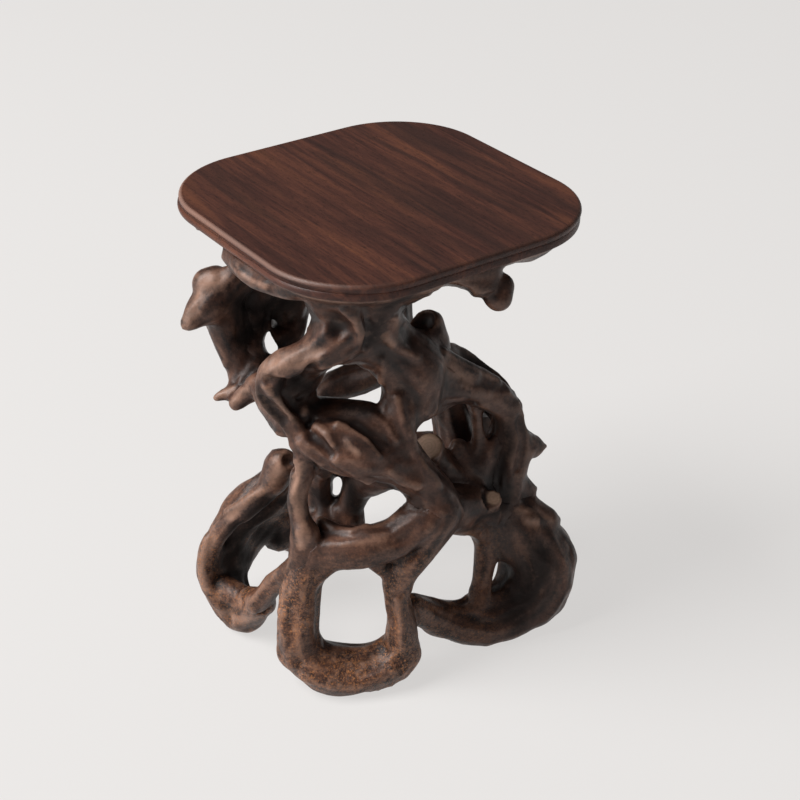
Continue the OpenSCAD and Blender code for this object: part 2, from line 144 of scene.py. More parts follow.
# Carved details, placed by the image pixels that they cross.
# Ridges: pixels, radius and height in mm
RIDGES = {
    "neck_knob": ([(337, 331)], 5.0, 1.1),
    "neck_knob_rim": ([(347, 309), (357, 318), (361, 330), (357, 345), (346, 352)], 1.6, 0.8),
    "arm_edge": ([(266, 386), (276, 396), (284, 408), (291, 417), (300, 430), (310, 445)], 1.2, 1.0),
    "trunk_window_edge": ([(381, 358), (383, 368), (382, 380), (376, 392)], 1.2, 0.7),
    "neck_to_shoulder": ([(385, 336), (394, 346), (416, 357)], 1.1, 0.7),
    "trunk_low": ([(318, 446), (334, 458), (352, 470), (368, 480)], 1.3, 0.6),
    "shoulder_rim": ([(443, 353), (458, 361), (478, 371), (496, 381)], 1.3, 0.7),
    "shoulder_face": ([(449, 363), (460, 369), (471, 375)], 2.3, 0.1),
    "trunk_right": ([(412, 436), (414, 452), (425, 468), (438, 484)], 1.1, 0.6),
    "trunk_wart": ([(304, 411)], 1.7, 1.0),
    "knob_top": ([(207, 283), (213, 281)], 4.2, 1.2),
    "strut_head": ([(301, 458), (299, 470)], 2.8, 0.7),
    "strut_edge": ([(306, 452), (308, 462), (304, 474), (296, 488), (293, 500)], 0.9, 0.8),
    "strut_knot": ([(303, 530), (308, 534)], 3.0, 1.1),
    "beam_edge": ([(321, 521), (336, 531), (352, 533), (366, 528)], 1.2, 0.8),
    "crown_drip": ([(501, 286), (499, 297)], 3.3, 1.6),
    "crown_lip": ([(236, 264), (244, 275), (254, 282), (268, 285)], 1.5, 0.9),
    "stub_side": ([(276, 466), (272, 482)], 3.6, 0.9),
    "stub_end": ([(282, 463)], 3.8, 0.6),
    "bulb_top": ([(531, 517), (545, 519), (557, 520)], 1.2, 0.7),
    "trunk_left_upper": ([(317, 427), (326, 434), (333, 446)], 1.2, 0.9),
    "trunk_left_lower": ([(300, 442), (309, 452), (322, 462)], 1.1, 0.8),
    "trunk_middle": ([(338, 425), (350, 430), (366, 441), (378, 455)], 1.1, 0.8),
    "trunk_upright": ([(398, 398), (402, 416), (408, 432)], 1.1, 0.8),
    "trunk_fork": ([(372, 415), (386, 424), (395, 440)], 1.0, 0.7),
    "trunk_foot": ([(390, 470), (402, 480), (418, 486)], 1.1, 0.8),
    "left_riser": ([(283, 612), (287, 640), (292, 664)], 1.6, 0.9),
    "sole": ([(305, 676), (330, 684), (362, 682), (392, 670)], 1.6, 0.9),
    "right_riser": ([(398, 600), (402, 628), (404, 650)], 1.3, 0.8),
    "hoop_side": ([(208, 540), (202, 560), (206, 584), (219, 604)], 1.4, 0.9),
    "hoop_top": ([(228, 512), (246, 501), (262, 491)], 1.3, 0.8),
}
# Grooves: pixels, radius and depth in mm
GROOVES = {
    "beside_neck_knob": ([(366, 312), (370, 330), (368, 346)], 1.1, 0.7),
    "under_arm": ([(262, 402), (272, 410), (282, 420)], 1.5, 1.1),
    "arm_hollow": ([(286, 394), (296, 406)], 1.6, 1.0),
    "arm_lower_edge": ([(268, 381), (282, 383), (298, 378), (314, 367)], 1.2, 0.9),
    "column": ([(520, 420), (524, 440), (518, 470)], 1.0, 0.6),
    "neck_knob_dimple": ([(333, 326), (338, 331)], 3.0, 0.4),
    "strut_hollow": ([(309, 498), (310, 508)], 1.6, 1.0),
    "beside_strut": ([(287, 518)], 1.8, 0.9),
    "stub_pit": ([(290, 461)], 1.7, 1.0),
    "trunk_left": ([(312, 436), (322, 444), (330, 455)], 1.2, 0.8),
    "trunk_middle": ([(356, 424), (372, 434), (384, 448)], 1.2, 0.8),
}
# Holes right through: pixels and radius in mm
PIERCED = {
    "left_window_top": ([(268, 333)], 0.5),
    "left_window_upper": ([(267, 338)], 0.9),
    "left_window_lower": ([(268, 343)], 1.3),
    "left_window_bottom": ([(271, 348)], 1.5),
    "under_drip": ([(440, 294), (448, 291), (457, 292), (465, 295)], 1.5),
    "crown_left_corner": ([(202, 233)], 2.0),
    "crown_left_edge": ([(196, 237), (206, 243), (214, 249)], 2.3),
    "strut_slot_top": ([(336, 474), (337, 478)], 0.6),
    "strut_slot_middle": ([(337, 482), (337, 486)], 1.0),
    "strut_slot_bottom": ([(336, 490), (335, 494)], 0.7),
}
# Wood taken away and wood added at given places: points and radius in mm
CUT_AWAY = {
    "under_arm_end": ([(-27, -36, 75.5), (-24.5, -36, 70), (-23.2, -36, 66)], 3.0),
}
BUILT_UP = {
    "strut_foot_to_hoop": ([(-33, -25, 15), (-38, -20.5, 12), (-43, -17.5, 13.5)], 3.6),
    "inner_rod": ([(-6.5, -26, 52), (-8.5, -25, 45), (-8, -26, 38)], 3.4),
    "front_window_left": ([(-19.5, -38.5, 32), (-12.5, -39, 39.5)], 3.0),
    "front_window_right": ([(-4, -38.5, 40), (2.5, -37.5, 33)], 2.6),
    "column_to_bulb": ([(36, -12, 36), (42, -12, 31.5)], 4.2),
    "beside_inner_rod": ([(-11.5, -25, 44), (-12, -26, 37)], 2.2),
}
# Painted shade in dark hollows, under overhangs and on shaded sides, and rubbed, paler edges that also
# carry painted highlights, painted on the wood: pixels and radius in mm
PAINTED_SHADE_SPOTS = {
    "cavern": ([(238, 300), (252, 312), (268, 306), (285, 304)], 5.0),
    "curtain": ([(246, 334), (262, 322)], 4.0),
    "under_nose": ([(198, 333), (208, 336)], 2.6),
    "under_arm": ([(280, 387), (296, 384), (308, 388)], 3.4),
    "arm_hollow": ([(258, 388), (264, 398), (272, 410), (282, 424)], 3.2),
    "trunk_hollow": ([(330, 395), (346, 409), (370, 412)], 3.6),
    "neck_right_upper": ([(388, 306), (404, 300)], 5.0),
    "neck_right_lower": ([(380, 322), (372, 340)], 4.0),
    "right_arch": ([(438, 410), (450, 404), (462, 414), (468, 432)], 4.4),
    "behind_shoulder_rim": ([(450, 346), (462, 354), (473, 361), (487, 368)], 2.2),
    "trunk_window": ([(350, 485), (350, 505)], 4.0),
    "right_of_strut": ([(312, 472), (315, 490), (318, 505)], 4.0),
    "hoop_upper": ([(248, 516), (260, 508), (272, 502), (284, 502)], 4.5),
    "hoop_middle": ([(236, 528), (252, 519), (270, 514), (284, 520)], 6.5),
    "hoop_left": ([(226, 548), (238, 536), (250, 530)], 4.5),
    "hoop_right": ([(266, 536), (280, 538)], 6.0),
    "hoop_lower": ([(226, 558), (240, 552), (246, 560)], 5.5),
    "hoop_bottom": ([(236, 572), (246, 576), (250, 584)], 4.5),
    "over_bulb_arch": ([(478, 520), (500, 512)], 4.0),
    "column_inner": ([(505, 425), (508, 450), (500, 470)], 4.0),
    "bulb": ([(540, 556), (532, 590), (520, 618)], 8.0),
}
# Rubbed places: paler worn wood, with painted highlights on lit tops and ridges
RUBBED_AND_HIGHLIGHT_SPOTS = {
    "knob": ([(205, 283), (216, 280)], 5.2),
    "nose": ([(199, 293), (193, 307), (187, 318)], 4.2),
    "arm": ([(266, 368), (282, 362), (298, 360), (313, 353)], 4.2),
    "upper_nub": ([(221, 394), (232, 389)], 2.0),
    "lower_nub": ([(232, 402), (247, 390)], 2.0),
    "arm_edge": ([(268, 390), (280, 405), (290, 417)], 1.3),
    "trunk_wart": ([(304, 411)], 2.0),
    "trunk": ([(346, 442), (358, 453)], 1.2),
    "strut": ([(299, 466), (294, 486), (297, 505), (303, 530), (300, 545)], 2.6),
    "hoop_top": ([(262, 490), (250, 497), (240, 506), (230, 516)], 2.4),
    "hoop_side": ([(212, 540), (203, 556), (200, 572), (206, 590)], 2.6),
    "hoop_front": ([(225, 612), (240, 622), (255, 618)], 3.0),
    "stub": ([(280, 462), (277, 480)], 4.0),
    "bulb_spot": ([(527, 521), (536, 523)], 2.2),
    "bulb_rim": ([(518, 510), (536, 511), (552, 519)], 1.6),
    "crown_lip": ([(236, 264), (244, 275), (254, 282), (268, 285)], 0.8),
    "shoulder_face": ([(444, 360), (456, 370), (470, 381)], 2.8),
    "shoulder_rim": ([(441, 351), (458, 360), (478, 370), (498, 380), (511, 388)], 1.1),
    "neck_to_shoulder": ([(386, 336), (394, 346)], 1.5),
}

# How details are traced and blended, in mm; the fade is a share of a stroke's radius
STROKE_FADE = 0.95
PIERCE_DEPTH = 30.0
DETAIL_BLEND = 1.2
DETAIL_MARGIN = 3.0
RAY_REACH = 90.0
RAY_STEP = 0.2
DEPTH_JUMP = 9.0

# Sawn branch ends, and the scooped one, in mm
SAWN_NODES = ("centre_branch", "side_branch")
SAWN_DEPTH = 2.5
SAWN_MARGIN = 1.5
SAWN_SKIN = 0.45
NORMAL_DIGITS = 2
OFFSET_DIGITS = 1
HOLLOW_NODE = "hollow_branch"
HOLLOW_RADIUS = 4.2
HOLLOW_DEPTH = 6.0
SCOOP_RADIUS = 3.3
SCOOP_SHIFT = (-0.9, -1.6, 0.2)


# Distance field helpers

def gaussian(field, size):
    """The field blurred by a Gaussian whose spread is size millimetres."""
    spread = size / VOXEL
    reach = int(math.ceil(BLUR_REACH * spread))
    steps = np.arange(-reach, reach + 1)
    weights = np.exp(-0.5 * (steps / spread) ** 2)
    weights = (weights / weights.sum()).astype(np.float32)
    for axis in range(3):
        pads = [(reach, reach) if a == axis else (0, 0) for a in range(3)]
        padded = np.pad(field, pads, mode="edge")
        count = field.shape[axis]
        blurred = np.zeros_like(field)
        for offset, weight in enumerate(weights):
            part = [slice(None)] * 3
            part[axis] = slice(offset, offset + count)
            blurred += weight * padded[tuple(part)]
        field = blurred
    return field


class Block:
    """A box of voxels: its first voxel and its shape, in the grid that has a voxel at the origin."""

    def __init__(self, low, high):
        self.first = np.floor(np.array(low) / VOXEL).astype(int)
        self.shape = tuple(np.ceil(np.array(high) / VOXEL).astype(int) - self.first + 1)

    def inside(self, other):
        """Where this block lies in a larger one."""
        start = self.first - other.first
        return tuple(slice(s, s + n) for s, n in zip(start, self.shape))

    def axes(self):
        """Coordinates along each axis, shaped to broadcast over the block."""
        lines = [(np.arange(n) + f) * VOXEL for f, n in zip(self.first, self.shape)]
        return np.meshgrid(*lines, indexing="ij", sparse=True)


def transform():
    """From voxels to millimetres."""
    return openvdb.createLinearTransform(voxelSize=VOXEL)


def solid_field(node, block):
    """Signed distance to a CAD node over a block, cut off at the band."""
    mesh = node.data
    points = np.empty(len(mesh.vertices) * 3, np.float32)
    mesh.vertices.foreach_get("co", points)
    mesh.calc_loop_triangles()
    corners = np.empty(len(mesh.loop_triangles) * 3, np.uint32)
    mesh.loop_triangles.foreach_get("vertices", corners)
    grid = openvdb.FloatGrid.createLevelSetFromPolygons(
        points.reshape(-1, 3) / np.float32(MM),
        triangles=corners.reshape(-1, 3),
        transform=transform(),
        halfWidth=float(BAND),
    )
    field = np.empty(block.shape, np.float32)
    grid.copyToArray(field, ijk=tuple(int(i) for i in block.first))
    return field


def swirl(shape, size, seed):
    """Smooth noise with bumps of about that size, spread of 1."""
    noise = np.random.default_rng(seed).standard_normal(shape).astype(np.float32)
    noise = gaussian(noise, size)
    return noise / noise.std()


def limb_axes(field):
    """Unit vectors along the limbs on every second voxel: the direction that the field's slope avoids."""
    coarse = field[::AXIS_STRIDE, ::AXIS_STRIDE, ::AXIS_STRIDE]
    slopes = np.gradient(coarse)
    tensor = np.empty((*coarse.shape, 3, 3), np.float32)
    for i in range(3):
        for j in range(i, 3):
            tensor[..., i, j] = gaussian(slopes[i] * slopes[j], AXIS_SPAN / AXIS_STRIDE)
            tensor[..., j, i] = tensor[..., i, j]
    axes = np.zeros((*coarse.shape, 3), np.float32)
    near = np.abs(coarse) < FLOW_BAND
    axes[near] = np.linalg.eigh(tensor[near])[1][..., 0]
    return axes


def flow(noise, places, axes, reach):
    """The noise averaged along the limbs at each of the places, spread of 1."""
    last = np.array(noise.shape) - 1
    ways = axes[tuple((places // AXIS_STRIDE).T)]
    total = np.zeros(len(places), np.float32)
    steps = int(reach / VOXEL)
    for step in range(-steps, steps + 1, FLOW_STEP):
        there = np.clip(np.rint(places + step * ways).astype(int), 0, last)
        total += noise[tuple(there.T)]
    return total / total.std()


def flow_field(field, axes, size, reach, seed):
    """Noise of that size, drawn out along the limbs, near the surface of the field; zero elsewhere."""
    places = np.argwhere(np.abs(field) < FLOW_BAND)
    drawn = np.zeros(field.shape, np.float32)
    drawn[tuple(places.T)] = flow(swirl(field.shape, size, seed), places, axes, reach)
    return drawn


def inside_share(field, span):
    """Share of wood within about that span of each voxel."""
    return gaussian((field < 0).astype(np.float32), span)


def smooth_min(first, second, blend):
    """The lesser of two fields, with the crease between them rounded."""
    near = np.maximum(blend - np.abs(first - second), 0) / blend
    return np.minimum(first, second) - near * near * blend / 4


def pixel_ray(pixel):
    """Start and direction of the camera's line of sight through an image pixel, in mm."""
    right, down = pixel[0] - IMAGE_CENTRE[0], pixel[1] - IMAGE_CENTRE[1]
    up = np.array((0, math.sin(CAMERA_PITCH), math.cos(CAMERA_PITCH)))
    ahead = np.array((0, math.cos(CAMERA_PITCH), -math.sin(CAMERA_PITCH)))
    sight = ahead * FOCAL_PIXELS + np.array((right, 0, 0)) - up * down
    start = np.array(CAMERA_TARGET) / MM - ahead * CAMERA_DISTANCE / MM
    return start, sight / np.linalg.norm(sight)


def surface_point(field, block, pixel):
    """Where the line of sight through a pixel first meets the wood, or None."""
    start, sight = pixel_ray(pixel)
    middle = CAMERA_DISTANCE / MM
    steps = np.arange(middle - RAY_REACH, middle + RAY_REACH, RAY_STEP)
    points = start + steps[:, None] * sight
    places = np.rint(points / VOXEL).astype(int) - block.first
    within = np.all((places >= 0) & (places < np.array(block.shape)), axis=1)
    points, places = points[within], places[within]
    hits = np.flatnonzero(field[tuple(places.T)] < 0)
    return points[hits[0]] if len(hits) else None


def trace(field, block, pixels):
    """Surface points under a row of pixels, without those far from the usual depth of the row."""
    start, sight = pixel_ray(IMAGE_CENTRE)
    found = [p for p in (surface_point(field, block, pixel) for pixel in pixels) if p is not None]
    if not found:
        return []
    depths = [float((p - start) @ sight) for p in found]
    usual = float(np.median(depths))
    return [p for p, depth in zip(found, depths) if abs(depth - usual) < DEPTH_JUMP]


def rod(block, points, radius):
    """Field of a round rod along a row of points, over the voxels round it, and where they are."""
    rows = np.array(points)
    reach = radius + DETAIL_MARGIN
    part = Block(rows.min(axis=0) - reach, rows.max(axis=0) + reach)
    grid = np.stack(np.broadcast_arrays(*part.axes()), axis=-1)
    least = np.full(part.shape, np.inf)
    for start, end in zip(points, points[1:] or points):
        along = end - start
        share = np.clip((grid - start) @ along / max(along @ along, TINY), 0, 1)
        least = np.minimum(least, np.linalg.norm(grid - start - share[..., None] * along, axis=-1))
    return (least - radius).astype(np.float32), part.inside(block)


def detail_rods(field, block):
    """Rods of wood to add and rods to take away, each as points and radius in mm."""
    sight = pixel_ray(IMAGE_CENTRE)[1]
    added, removed = [], []
    for pixels, radius, lift in RIDGES.values():
        points = trace(field, block, pixels)
        added.append(([p + sight * (radius - lift) for p in points], radius))
    for points, radius in BUILT_UP.values():
        added.append(([np.array(p) for p in points], radius))
    for pixels, radius, sink in GROOVES.values():
        points = trace(field, block, pixels)
        removed.append(([p - sight * (radius - sink) for p in points], radius))
    for pixels, radius in PIERCED.values():
        for p in trace(field, block, pixels):
            removed.append(([p - sight * radius, p + sight * PIERCE_DEPTH], radius))
    for points, radius in CUT_AWAY.values():
        removed.append(([np.array(p) for p in points], radius))
    return added, removed


def carve_details(field, block):
    """Carves the photograph's ridges, grooves and holes into the field."""
    added, removed = detail_rods(field, block)
    for points, radius in added:
        if points:
            wood, here = rod(block, points, radius)
            field[here] = smooth_min(field[here], wood, DETAIL_BLEND)
    for points, radius in removed:
        if points:
            hollow, here = rod(block, points, radius)
            field[here] = -smooth_min(-field[here], hollow, DETAIL_BLEND)


def paint(field, block, strokes):
    """Soft spots of 1 along the strokes, on the wood that the camera sees there."""
    tone = np.zeros(block.shape, np.float32)
    for pixels, radius in strokes.values():
        points = trace(field, block, pixels)
        if points:
            near, here = rod(block, points, radius)
            tone[here] = np.maximum(tone[here], np.clip(-near / (STROKE_FADE * radius), 0, 1))
    return tone


def sawn_end(node):
    """Centre, outward direction and radius of the largest flat face of a node, in mm."""
    areas, centres = {}, {}
    for face in node.data.polygons:
        offset = face.normal.dot(face.center) / MM
        key = (*(round(n, NORMAL_DIGITS) for n in face.normal), round(offset, OFFSET_DIGITS))
        areas[key] = areas.get(key, 0) + face.area / MM**2
        centres[key] = centres.get(key, Vector()) + face.center * face.area / MM**3
    best = max((k for k in areas if k[2] > 0), key=areas.get)
    out = np.array(best[:3]) / np.linalg.norm(best[:3])
    return np.array(centres[best]) / areas[best], out, math.sqrt(areas[best] / math.pi)


def saw_ends(field, block, roots):
    """Saws the cut branches flat; returns marks of the cut skin and of the distance from the pith."""
    cut = np.zeros(block.shape, np.float32)
    ring = np.zeros(block.shape, np.float32)
    for name in SAWN_NODES:
        centre, out, radius = sawn_end(roots[name])
        reach = radius + SAWN_DEPTH + SAWN_MARGIN
        part = Block(centre - reach, centre + reach)
        here = part.inside(block)
        away = np.stack(np.broadcast_arrays(*part.axes()), axis=-1) - centre
        height = (away @ out).astype(np.float32)
        from_pith = np.linalg.norm(away - height[..., None] * out, axis=-1).astype(np.float32)
        stub = np.maximum(np.maximum(from_pith - radius, height), -height - SAWN_DEPTH)
        near = (from_pith < radius + SAWN_MARGIN) & (np.abs(height) < SAWN_DEPTH)
        joined = smooth_min(field[here], stub, DETAIL_BLEND)
        field[here] = np.where(near, np.maximum(joined, height), field[here])
        skin = np.minimum(height + SAWN_SKIN, radius - from_pith) / VOXEL
        cut[here] = np.where(near, np.clip(skin, 0, 1), cut[here])
        ring[here] = np.where(near, from_pith, ring[here])
    return cut, ring


def scoop_branch(field, block, roots):
    """Makes the hollow branch a full round stub, scooped out from its end towards the front."""
    centre, out, _ = sawn_end(roots[HOLLOW_NODE])
    line = [centre - out * HOLLOW_DEPTH, centre - out * HOLLOW_RADIUS / 2]
    stub, here = rod(block, line, HOLLOW_RADIUS)
    field[here] = smooth_min(field[here], stub, DETAIL_BLEND)
    bowl, here = rod(block, [centre + np.array(SCOOP_SHIFT)], SCOOP_RADIUS)
    field[here] = -smooth_min(-field[here], bowl, DETAIL_BLEND / 2)


def sample(values, spots):
    """Values at places between the voxels."""
    low = np.clip(np.floor(spots).astype(int), 0, np.array(values.shape) - 2)
    part = np.clip(spots - low, 0, 1)
    total = np.zeros(len(spots), np.float32)
    for corner in itertools.product((0, 1), repeat=3):
        weights = np.prod(np.where(corner, part, 1 - part), axis=1)
        total += weights * values[tuple((low + corner).T)]
    return total


def edges_of(faces):
    """Both ends of each side of the faces, as rows of two point numbers."""
    return np.stack([faces, np.roll(faces, -1, axis=1)], axis=-1).reshape(-1, 2).astype(np.int64)


def is_closed(edges, count):
    """Whether just two faces meet at every edge, and no edge has a length of zero."""
    low, high = edges.min(axis=1), edges.max(axis=1)
    shared = np.unique(low * count + high, return_counts=True)[1]
    return bool(np.all(shared == 2) and np.all(low < high))


def islands(edges, count):
    """For each point, the lowest point number in its connected part of the surface."""
    lowest = np.arange(count)
    while True:
        starts, ends = lowest[edges[:, 0]], lowest[edges[:, 1]]
        least = np.minimum(starts, ends)
        better = lowest.copy()
        np.minimum.at(better, starts, least)
        np.minimum.at(better, ends, least)
        better = better[better]
        if np.array_equal(better, lowest):
            return lowest
        lowest = better


def shells(field, block):
    """Points and faces of each closed shell at the zero level of a field, largest first, no specks."""
    grid = openvdb.FloatGrid(float(FAR))
    grid.transform = transform()
    grid.copyFromArray(field, ijk=tuple(int(i) for i in block.first))
    for level in MESH_LEVELS:
        points, triangles, quads = grid.convertToPolygons(isovalue=level, adaptivity=0.0)
        edges = np.concatenate([edges_of(triangles), edges_of(quads)])
        places = np.unique(points.round(POINT_DIGITS), axis=0, return_inverse=True)[1].reshape(-1)
        if is_closed(places[edges], len(points)):
            break
    island = islands(edges, len(points))
    found = []
    for start in np.unique(island):
        own = island == start
        if np.ptp(points[own], axis=0).max() > SPECK_SIZE:
            number = np.cumsum(own) - 1
            faces = []
            for rows in (triangles, quads):
                faces += number[rows[own[rows[:, 0]]]][:, ::-1].tolist()
            found.append((points[own], faces))
    return sorted(found, key=lambda shell: -len(shell[0]))


def add_object(name, data):
    """A new object in the scene."""
    made = bpy.data.objects.new(name, data)
    bpy.context.scene.collection.objects.link(made)
    return made


def mesh_piece(name, parts, block, marks):
    """A smooth mesh object from closed shells, with the marks as point values."""
    points = np.concatenate([part_points for part_points, _ in parts])
    faces = []
    first = 0
    for part_points, part_faces in parts:
        faces += [[first + corner for corner in face] for face in part_faces]
        first += len(part_points)
    mesh = bpy.data.meshes.new(name)
    mesh.from_pydata((points * MM).tolist(), [], faces)
    mesh.shade_smooth()
    spots = points / VOXEL - block.first
    for mark, values in marks.items():
        layer = mesh.attributes.new(mark, "FLOAT", "POINT")
        layer.data.foreach_set("value", sample(values, spots))
    return add_object(name, mesh)


# Sculpt of the root members

class Members:
    """Distance fields of the CAD members: each over its own block, the nearest two over the whole one."""

    def __init__(self, roots):
        boxes = {name: [np.array(c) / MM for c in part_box(name)] for name in roots}
        low = np.min([b[0] for b in boxes.values()], axis=0) - MARGIN
        high = np.max([b[1] for b in boxes.values()], axis=0) + MARGIN
        self.whole = Block(low, high)
        self.nearest = np.full(self.whole.shape, FAR, np.float32)
        self.second = np.full(self.whole.shape, FAR, np.float32)
        self.owner = np.full(self.whole.shape, -1, np.int8)
        self.blocks, self.fields = {}, {}
        for index, name in enumerate(roots):
            self.blocks[name] = Block(boxes[name][0] - MARGIN, boxes[name][1] + MARGIN)
            self.fields[name] = solid_field(roots[name], self.blocks[name])
            self.rank(index, name)

    def rank(self, index, name):
        """Takes one more member into the nearest two."""
        field = self.fields[name]
        here = self.blocks[name].inside(self.whole)
        closer = field < self.nearest[here]
        self.second[here] = np.where(closer, self.nearest[here], np.minimum(self.second[here], field))
        self.owner[here] = np.where(closer, index, self.owner[here])
        self.nearest[here] = np.minimum(self.nearest[here], field)

    def share(self, index, name):
        """Field of the space that is a member's own, with a little overlap at its joints."""
        here = self.blocks[name].inside(self.whole)
        others = np.where(self.owner[here] == index, self.second[here], self.nearest[here])
        return self.fields[name] - others - JOINT_OVERLAP

    def in_reach(self, points):
        """Whether the points lie within reach of some member's field."""
        return sample(self.nearest, points / VOXEL - self.whole.first).mean() < FAR - 2 * JOINT_OVERLAP

    def touched(self, points, name):
        """The other member whose wood is nearest to the points."""
        def distance(other):
            return sample(self.fields[other], points / VOXEL - self.blocks[other].first).mean()
        return min((other for other in self.fields if other != name), key=distance)


def flute_share(nearest, below_board):
    """How far the flutes are cut at each voxel: less on thin limbs and close to the board."""
    share = np.interp(inside_share(nearest, THIN_SPAN), THIN_LIMITS, (0, 1)).astype(np.float32)
    share *= np.clip(below_board / CALM_SPAN, CALM_LEAST, 1)
    return share


def swells_and_flutes(field, axes):
    """Height of the swells, and of the flutes that run along the limbs, in mm."""
    change = SWELL_DEPTH * swirl(field.shape, SWELL_SIZE, NOISE_SEED)
    for number, (size, depth, reach) in enumerate(FLUTES, 1):
        drawn = flow_field(field, axes, size, reach, NOISE_SEED + number)
        change += depth * np.where(drawn == 0, 0, np.abs(drawn) - FLUTE_MEAN)
    return change


def cut_apart(carved, members):
    """Closed shells of each member's share of the carved wood; chips go to the member that they touch."""
    parts = {name: [] for name in members.fields}
    for index, name in enumerate(members.fields):
        block = members.blocks[name]
        wood = carved[block.inside(members.whole)] + PIECE_INSET * index
        main_shell, *chips = shells(np.maximum(wood, members.share(index, name)), block)
        parts[name].append(main_shell)
        for chip in chips:
            # Wood past the reach of every field is already in the main shell of the member beside it
            if members.in_reach(chip[0]):
                parts[members.touched(chip[0], name)].append(chip)
    return parts


def sculpt(roots):
    """One closed piece for each root member, cut from one flowing field."""
    members = Members(roots)
    whole, nearest = members.whole, members.nearest
    height = whole.axes()[2].astype(np.float32)
    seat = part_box("top_board")[0].z / MM
    carved = np.minimum(nearest, gaussian(nearest, FILLET))
    carved = gaussian(carved, FACET_BLUR) - SHRINK_REPAIR
    axes = limb_axes(carved)
    fluted = flute_share(nearest, seat - height)
    carved = gaussian(carved + fluted * swells_and_flutes(carved, axes), FLUTE_BLUR)
    carved = smooth_min(carved, nearest + TIP_REPAIR, TIP_REPAIR)
    carve_details(carved, whole)
    scoop_branch(carved, whole, roots)
    carved += RIPPLE_DEPTH * fluted * flow_field(carved, axes, RIPPLE_SIZE, RIPPLE_REACH, NOISE_SEED)
    cut, ring = saw_ends(carved, whole, roots)
    carved = np.maximum(np.maximum(carved, -height), height - seat)
    marks = {
        # Convexity: ridges paler with wear and painted highlight, hollows darker with painted shade
        "convexity": (gaussian(carved, CONVEXITY_SPAN) - carved) / CONVEXITY_SPAN,
        "cut": cut,
        "ring": ring,
        "grain": flow_field(carved, axes, GRAIN_SIZE, GRAIN_REACH, NOISE_SEED - 1),
        # Share of wood round each place, which paints shade into enclosed hollows
        "enclosure_shade": inside_share(carved, ENCLOSURE_SHADE_SPAN),
        # Painted shade spots in hollows, under overhangs and on shaded sides
        "painted_shade": paint(carved, whole, PAINTED_SHADE_SPOTS),
        # Rubbed places: paler worn wood with painted highlights
        "rub_and_highlight": paint(carved, whole, RUBBED_AND_HIGHLIGHT_SPOTS),
    }
    parts = cut_apart(carved, members)
    return {name: mesh_piece("carved_" + name, parts[name], whole, marks) for name in roots}


# Board

def rounded_square(side, radius):
    """Points round a square with rounded corners."""
    points = []
    half = side / 2 - radius
    for quarter in range(4):
        sign_x = 1 if quarter in (0, 3) else -1
        sign_y = 1 if quarter in (0, 1) else -1
        for step in range(CORNER_STEPS + 1):
            angle = (quarter + step / CORNER_STEPS) * math.pi / 2
            x = sign_x * half + radius * math.cos(angle)
            y = sign_y * half + radius * math.sin(angle)
            points.append((x, y))
    return points


def quarter_arc(radius):
    """(inset, drop) along a rounded edge, from the flat face to the upright side."""
    angles = [math.pi / 2 * k / EDGE_STEPS for k in range(EDGE_STEPS + 1)]
    return [(radius * (1 - math.sin(a)), radius * (1 - math.cos(a))) for a in angles]


def turned(x, y, shift):
    """A board point turned as the board stands, then shifted along x."""
    turn_cos, turn_sin = math.cos(BOARD_TURN), math.sin(BOARD_TURN)
    return x * turn_cos - y * turn_sin + shift, x * turn_sin + y * turn_cos


def groove_share(x):
    """How deep the groove round the edge is at that x: full at the left corner, slight elsewhere."""
    return float(np.interp(-x, GROOVE_SPAN, (GROOVE_LEAST, 1)))


def edge_rows(top, bottom):
    """Rows of the bead, then rows of the groove and lip under it: inset, height and shift in mm."""
    bead = [(inset, top - drop, 0) for inset, drop in quarter_arc(BEAD_RADIUS)]
    groove = [(GROOVE_INSET, top - GROOVE_TOP, 0), (GROOVE_INSET, top - GROOVE_BOTTOM, LIP_SHIFT)]
    lip = [(LIP_INSET + inset, drop) for inset, drop in quarter_arc(LIP_RADIUS)]
    lip_top = [(inset, top - GROOVE_BOTTOM - drop, LIP_SHIFT) for inset, drop in lip]
    lip_bottom = [(inset, bottom + rise, LIP_SHIFT) for inset, rise in reversed(lip)]
    return bead, groove + lip_top + lip_bottom


def edge_ring(side, row, insets, shares):
    """One row of points round the board, each with its part of the inset and of the shift."""
    inset, z, shift = row
    outer = rounded_square(side, BOARD_CORNER)
    inner = rounded_square(side - 2 * inset, BOARD_CORNER - inset)
    ring = []
    for (x, y), (inner_x, inner_y), part, share in zip(outer, inner, insets, shares):
        flat = turned(x + part * (inner_x - x), y + part * (inner_y - y), -shift * share)
        ring.append((*flat, z))
    return ring


def ring_faces(count, levels):
    """Faces of a stack of rings, closed by its top and its underside."""
    faces = [tuple(range(count))]
    for level in range(levels - 1):
        upper, lower = level * count, (level + 1) * count
        for k in range(count):
            after = (k + 1) % count
            faces.append((upper + k, lower + k, lower + after, upper + after))
    faces.append(tuple(range(levels * count - 1, (levels - 1) * count - 1, -1)))
    return faces


